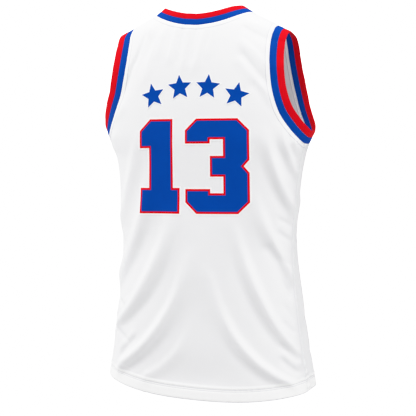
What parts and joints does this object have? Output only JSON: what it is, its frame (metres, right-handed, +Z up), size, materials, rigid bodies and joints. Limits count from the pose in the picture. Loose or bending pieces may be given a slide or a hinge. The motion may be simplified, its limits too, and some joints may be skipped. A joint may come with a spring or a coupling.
{
  "type": "basketball jersey",
  "caption": "Sleeveless basketball jersey in white knit with striped red and blue trim at neck and armholes, and blue block figures and stars applied to the back",
  "frame": {"origin": "midway between the two shoulder seams, at the height where they meet the neck band; the jersey hangs down from there", "axes": "+Z up; the front of the jersey faces -Y; the wearer's right is -X"},
  "size_m": [0.4297, 0.2563, 0.7717],
  "materials": {
    "knit_white": "smooth white polyester knit, soft sheen",
    "rib_blue": "royal blue knitted trim",
    "rib_red": "red knitted trim",
    "twill_figures": "blue twill on red and white twill, pressed on",
    "twill_stars": "blue twill with a white edge, pressed on"
  },
  "bodies": {
    "root": {"back_panel": "knit_white", "front_panel": "knit_white", "neck_band_blue": "rib_blue", "neck_band_red": "rib_red", "right_armhole_band_blue": "rib_blue", "right_armhole_band_red": "rib_red", "left_armhole_band_blue": "rib_blue", "left_armhole_band_red": "rib_red", "figure_one": "twill_figures", "figure_three": "twill_figures", "star_1": "twill_stars", "star_2": "twill_stars", "star_3": "twill_stars", "star_4": "twill_stars"}
  },
  "joints": []
}
